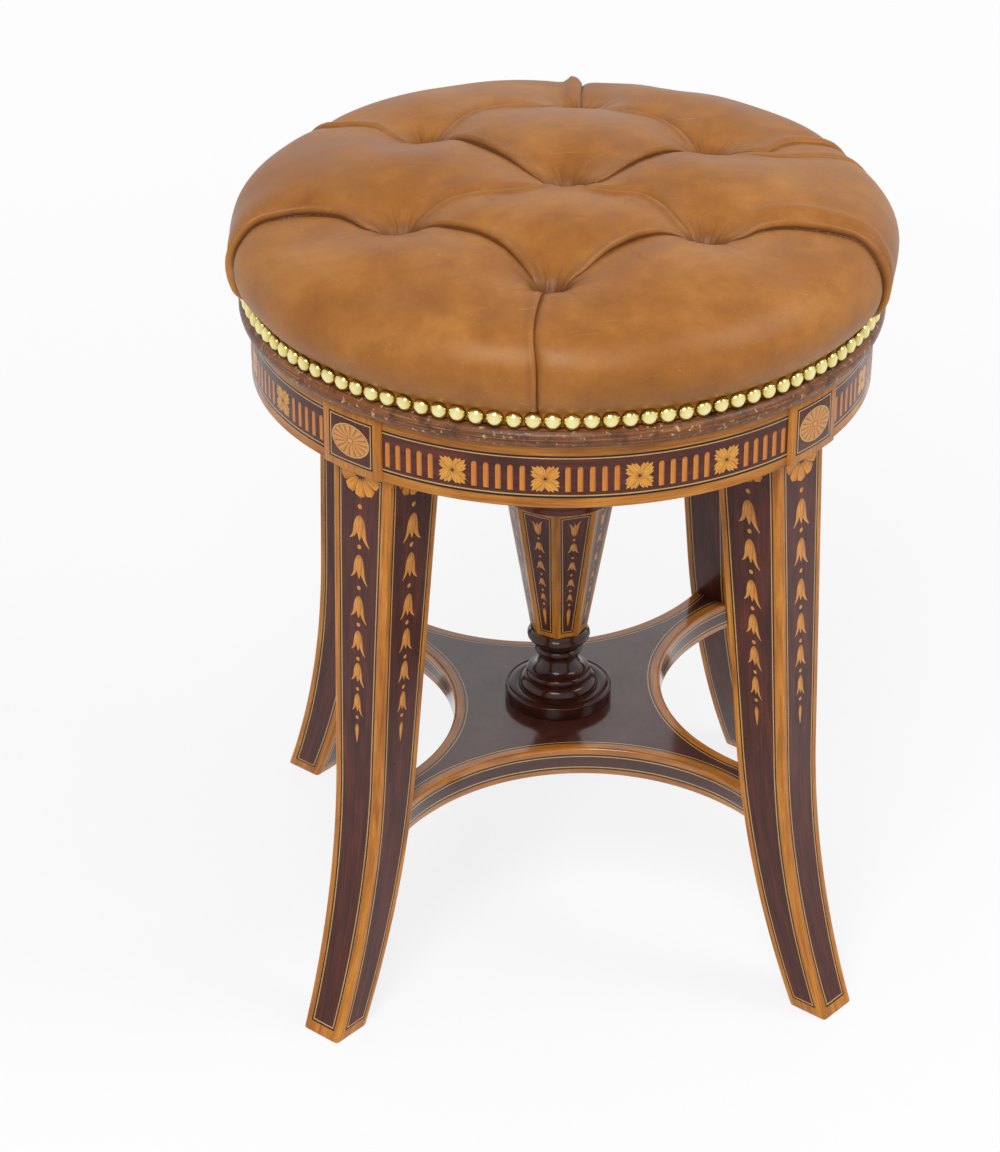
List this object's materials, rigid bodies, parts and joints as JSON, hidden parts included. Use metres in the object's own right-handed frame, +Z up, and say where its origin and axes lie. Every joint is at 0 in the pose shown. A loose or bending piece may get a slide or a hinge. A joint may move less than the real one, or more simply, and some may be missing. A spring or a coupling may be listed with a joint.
{
  "type": "piano stool",
  "caption": "Round revolving piano stool: tufted leather seat on a rising screw, inlaid frieze, sabre legs and a stretcher platform under a tapered column.",
  "frame": {"origin": "on the floor, on the axis of the seat screw", "axes": "+Z up along the seat screw; -Y is the front, midway between two legs"},
  "size_m": [0.3974, 0.3974, 0.5012],
  "materials": {
    "leg_veneer": "french polished, inlaid",
    "tablet_inlay": "french polished, inlaid",
    "frieze_veneer": "french polished, inlaid",
    "shaft_veneer": "french polished, inlaid",
    "platform_veneer": "french polished, cross-banded edge",
    "mahogany": "french polished",
    "beech": "bare, aged",
    "iron": "black japanned",
    "screw_steel": "oiled, dull",
    "brass": "dull",
    "nail_brass": "polished",
    "leather": "tan, soft sheen",
    "stuffing": "curled hair",
    "twine": "linen"
  },
  "bodies": {
    "frame": {"leg_front_left": "leg_veneer", "tablet_front_left": "tablet_inlay", "leg_front_right": "leg_veneer", "tablet_front_right": "tablet_inlay", "leg_back_right": "leg_veneer", "tablet_back_right": "tablet_inlay", "leg_back_left": "leg_veneer", "tablet_back_left": "tablet_inlay", "frieze_rail_front": "frieze_veneer", "frieze_rail_right": "frieze_veneer", "frieze_rail_back": "frieze_veneer", "frieze_rail_left": "frieze_veneer", "cross_rail_lower": "beech", "cross_rail_upper": "beech", "glue_blocks": "beech", "nut_plate": "iron", "nut_plate_screws": "screw_steel", "capital_screws": "screw_steel", "column_capital": "mahogany", "column_shaft": "shaft_veneer", "column_foot": "mahogany", "foot_screw": "screw_steel", "foot_washer": "screw_steel", "stretcher_platform": "platform_veneer"},
    "riser": {"stop_washer": "brass"},
    "seat": {"seat_board": "beech", "screw_flange": "iron", "flange_screws": "screw_steel", "rim_screws": "screw_steel", "seat_screw": "screw_steel", "end_nut": "screw_steel", "seat_rim": "mahogany", "leather_cover": "leather", "tuft_buttons": "leather", "seat_stuffing": "stuffing", "tuft_twines": "twine", "brass_nails": "nail_brass"}
  },
  "joints": [
    {"name": "seat_rise", "type": "slide", "parent": "frame", "child": "riser", "axis": [0, 0, 1], "range_m": [0, 0.096]},
    {"name": "seat_turn", "type": "hinge", "parent": "riser", "child": "seat", "pos_m": [0, 0, 0.42], "axis": [0, 0, 1], "range_deg": [0, 5760]}
  ],
  "couplings": [
    {"joint": "seat_rise", "follows": "seat_turn", "m_per_rad": 0.00095493}
  ]
}
